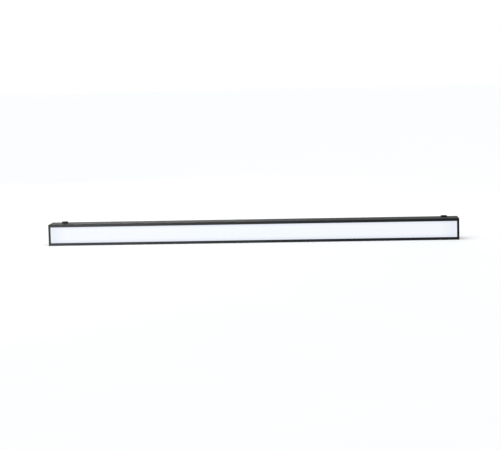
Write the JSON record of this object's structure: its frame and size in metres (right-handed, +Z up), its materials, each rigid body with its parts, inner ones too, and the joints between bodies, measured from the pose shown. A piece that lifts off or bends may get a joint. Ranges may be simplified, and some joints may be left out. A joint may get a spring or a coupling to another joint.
{
  "type": "led strip batten",
  "caption": "Straight stage light: an aluminium channel with a full-length opal diffuser, flat end caps, a rear rail and quick-lock end links.",
  "frame": {"origin": "middle of the batten's flat underside", "axes": "+X along the batten to the right as seen from the lit side, -Y the way the light goes, +Z up"},
  "size_m": [1, 0.062, 0.0562],
  "materials": {
    "black_anodised": "satin black anodised",
    "black_component": "moulded",
    "black_plastic": "moulded satin",
    "black_screw": "blackened",
    "board_green": "solder mask",
    "board_white": "white solder mask",
    "brass_metal": "turned",
    "bright_steel": "zinc plated",
    "ferrite": "ferrite",
    "lead_jacket": "jacket",
    "led_package": "resin",
    "opal_diffuser": "opal satin",
    "pad_grey": "soft",
    "seal_rubber": "matt",
    "white_reflector": "matt white"
  },
  "bodies": {
    "batten": {"board_links": "black_component", "board_screws": "bright_steel", "cell_grid_1": "white_reflector", "cell_grid_2": "white_reflector", "cell_grid_3": "white_reflector", "cell_grid_4": "white_reflector", "cell_grid_5": "white_reflector", "data_inlet_socket": "black_plastic", "data_outlet_socket": "black_plastic", "driver_board": "board_green", "driver_capacitors": "black_component", "driver_chips": "black_component", "driver_headers": "black_component", "driver_inductors": "ferrite", "driver_screws": "bright_steel", "driver_standoffs": "bright_steel", "driver_transformer": "ferrite", "earth_stud": "bright_steel", "end_cap_screws": "black_screw", "end_gaskets": "seal_rubber", "feed_connector": "black_component", "front_diffuser": "opal_diffuser", "housing_extrusion": "black_anodised", "inner_leads": "lead_jacket", "led_board_1": "board_white", "led_board_2": "board_white", "led_board_3": "board_white", "led_board_4": "board_white", "led_board_5": "board_white", "led_chips_1": "led_package", "led_chips_2": "led_package", "led_chips_3": "led_package", "led_chips_4": "led_package", "led_chips_5": "led_package", "left_end_cap": "black_anodised", "left_link_guide": "bright_steel", "link_guide_screws": "bright_steel", "lock_bushes": "brass_metal", "lock_seals": "seal_rubber", "mounting_rail": "black_anodised", "power_inlet_socket": "black_plastic", "power_outlet_socket": "black_plastic", "rail_screws": "black_screw", "rear_cover": "black_anodised", "rear_cover_screws": "black_screw", "right_end_cap": "black_anodised", "right_link_guide": "bright_steel", "socket_contacts": "brass_metal", "socket_gaskets": "seal_rubber", "socket_screws": "black_screw", "thermal_pads": "pad_grey", "vent_nut": "black_plastic", "vent_plug": "black_plastic"},
    "link_bar": {"link_bar": "bright_steel"},
    "left_lock": {"left_lock_knob": "black_plastic", "left_lock_stem": "bright_steel"},
    "right_lock": {"right_lock_knob": "black_plastic", "right_lock_stem": "bright_steel"},
    "left_nut": {"left_rail_nut": "bright_steel"},
    "right_nut": {"right_rail_nut": "bright_steel"}
  },
  "joints": [
    {"name": "link_bar_slide", "type": "slide", "parent": "batten", "child": "link_bar", "axis": [-1, 0, 0], "range_m": [0, 0.04]},
    {"name": "left_lock_turn", "type": "hinge", "parent": "batten", "child": "left_lock", "pos_m": [-0.4655, 0.0105, 0.0523], "axis": [0, 0, 1], "range_deg": [-90, 0]},
    {"name": "right_lock_turn", "type": "hinge", "parent": "batten", "child": "right_lock", "pos_m": [0.4655, 0.0105, 0.0523], "axis": [0, 0, 1], "range_deg": [-90, 0]},
    {"name": "left_nut_slide", "type": "slide", "parent": "batten", "child": "left_nut", "axis": [1, 0, 0], "range_m": [-0.055, 0.135]},
    {"name": "right_nut_slide", "type": "slide", "parent": "batten", "child": "right_nut", "axis": [1, 0, 0], "range_m": [-0.135, 0.055]}
  ]
}
